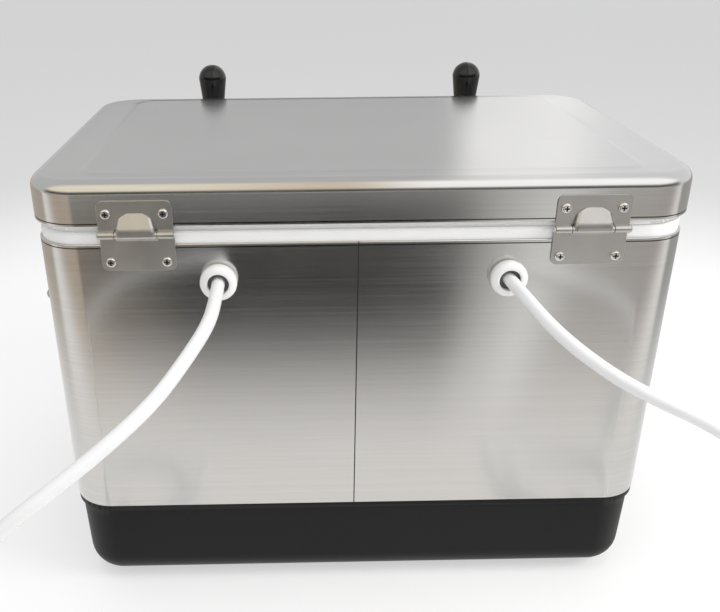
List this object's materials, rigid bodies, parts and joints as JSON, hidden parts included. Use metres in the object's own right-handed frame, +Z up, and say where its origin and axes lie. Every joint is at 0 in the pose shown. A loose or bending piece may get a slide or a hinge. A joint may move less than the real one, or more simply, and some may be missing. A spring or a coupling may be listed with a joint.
{
  "type": "two-tap jockey box cooler",
  "caption": "Steel-clad insulated ice chest with a hinged lid that chills beer through coils from rear hoses to front taps.",
  "frame": {"origin": "on the floor, under the middle of the chest, in the plane of the base's foot", "axes": "+X along the chest's length, +Y to the back with the hinges and hoses, -Y to the front with the taps, +Z up"},
  "size_m": [0.7246, 0.7466, 0.4807],
  "materials": {
    "steel_skin": "satin",
    "black_base": "matte",
    "white_liner": "satin",
    "foam_core": "matte",
    "hinge_steel": "satin",
    "screw_steel": "polished",
    "white_gland": "gloss",
    "white_hose": "satin",
    "coil_steel": "satin",
    "tap_chrome": "polished",
    "knob_black": "gloss",
    "black_rubber": "matte",
    "grip_black": "matte",
    "drain_white": "satin",
    "plug_black": "matte",
    "end_steel": "satin"
  },
  "bodies": {
    "cooler": {"base_tray": "black_base", "body_wrap": "steel_skin", "inner_tub": "white_liner", "body_foam": "foam_core", "body_hinge_screws": "screw_steel", "pivot_pins": "screw_steel", "latch_screws": "screw_steel", "handle_screws": "screw_steel", "latch_base": "hinge_steel", "handle_brackets_left": "hinge_steel", "handle_brackets_right": "hinge_steel", "hinge_leaf_body_left": "hinge_steel", "hinge_leaf_body_right": "hinge_steel", "hose_clamps": "hinge_steel", "drain_spout": "drain_white", "drain_nut": "drain_white", "hose_gland_left": "white_gland", "hose_gland_right": "white_gland", "gland_nuts": "white_gland", "hose_tails": "white_hose", "hose_left": "white_hose", "hose_right": "white_hose", "hose_ring_left": "white_hose", "hose_ring_right": "white_hose", "inlet_fittings": "end_steel", "tail_nuts": "end_steel", "hose_connector_left": "end_steel", "hose_connector_right": "end_steel", "cooling_coil_left": "coil_steel", "cooling_coil_right": "coil_steel", "shank_nuts": "tap_chrome", "tap_collars": "tap_chrome", "tap_bonnets": "tap_chrome", "tap_shank_left": "tap_chrome", "tap_shank_right": "tap_chrome", "tap_body_left": "tap_chrome", "tap_body_right": "tap_chrome"},
    "lid": {"lid_skin": "steel_skin", "lid_liner": "white_liner", "lid_foam": "foam_core", "hinge_leaf_lid_left": "hinge_steel", "hinge_leaf_lid_right": "hinge_steel", "lid_hinge_screws": "screw_steel", "latch_staple": "hinge_steel"},
    "lever_left": {"tap_lever_left": "tap_chrome", "tap_knob_left": "knob_black"},
    "lever_right": {"tap_lever_right": "tap_chrome", "tap_knob_right": "knob_black"},
    "valve_left": {"valve_rod_left": "end_steel", "valve_washer_left": "black_rubber"},
    "valve_right": {"valve_rod_right": "end_steel", "valve_washer_right": "black_rubber"},
    "handle_left": {"handle_bail_left": "hinge_steel", "handle_grip_left": "grip_black"},
    "handle_right": {"handle_bail_right": "hinge_steel", "handle_grip_right": "grip_black"},
    "hasp": {"latch_hasp": "hinge_steel"},
    "plug": {"drain_plug": "plug_black", "drain_seal": "black_rubber"}
  },
  "joints": [
    {"name": "lid_hinge", "type": "hinge", "parent": "cooler", "child": "lid", "pos_m": [0, 0.1975, 0.402], "axis": [-1, 0, 0], "range_deg": [0, 100]},
    {"name": "left_tap_lever", "type": "hinge", "parent": "cooler", "child": "lever_left", "pos_m": [0.168, -0.2467, 0.365], "axis": [1, 0, 0], "range_deg": [0, 20]},
    {"name": "right_tap_lever", "type": "hinge", "parent": "cooler", "child": "lever_right", "pos_m": [-0.168, -0.2467, 0.365], "axis": [1, 0, 0], "range_deg": [0, 20]},
    {"name": "left_valve_slide", "type": "slide", "parent": "cooler", "child": "valve_left", "axis": [0, 1, 0], "range_m": [0, 0.0075]},
    {"name": "right_valve_slide", "type": "slide", "parent": "cooler", "child": "valve_right", "axis": [0, 1, 0], "range_m": [0, 0.0075]},
    {"name": "left_handle_swing", "type": "hinge", "parent": "cooler", "child": "handle_left", "pos_m": [0.3147, 0, 0.3], "axis": [0, -1, 0], "range_deg": [0, 160]},
    {"name": "right_handle_swing", "type": "hinge", "parent": "cooler", "child": "handle_right", "pos_m": [-0.3147, 0, 0.3], "axis": [0, 1, 0], "range_deg": [0, 160]},
    {"name": "latch_swing", "type": "hinge", "parent": "cooler", "child": "hasp", "pos_m": [0, -0.1977, 0.376], "axis": [-1, 0, 0], "range_deg": [0, 180]},
    {"name": "drain_plug_pull", "type": "slide", "parent": "cooler", "child": "plug", "axis": [1, 0, 0], "range_m": [0, 0.022]}
  ],
  "couplings": [
    {"joint": "left_valve_slide", "follows": "left_tap_lever", "m_per_rad": 0.0205},
    {"joint": "right_valve_slide", "follows": "right_tap_lever", "m_per_rad": 0.0205}
  ]
}
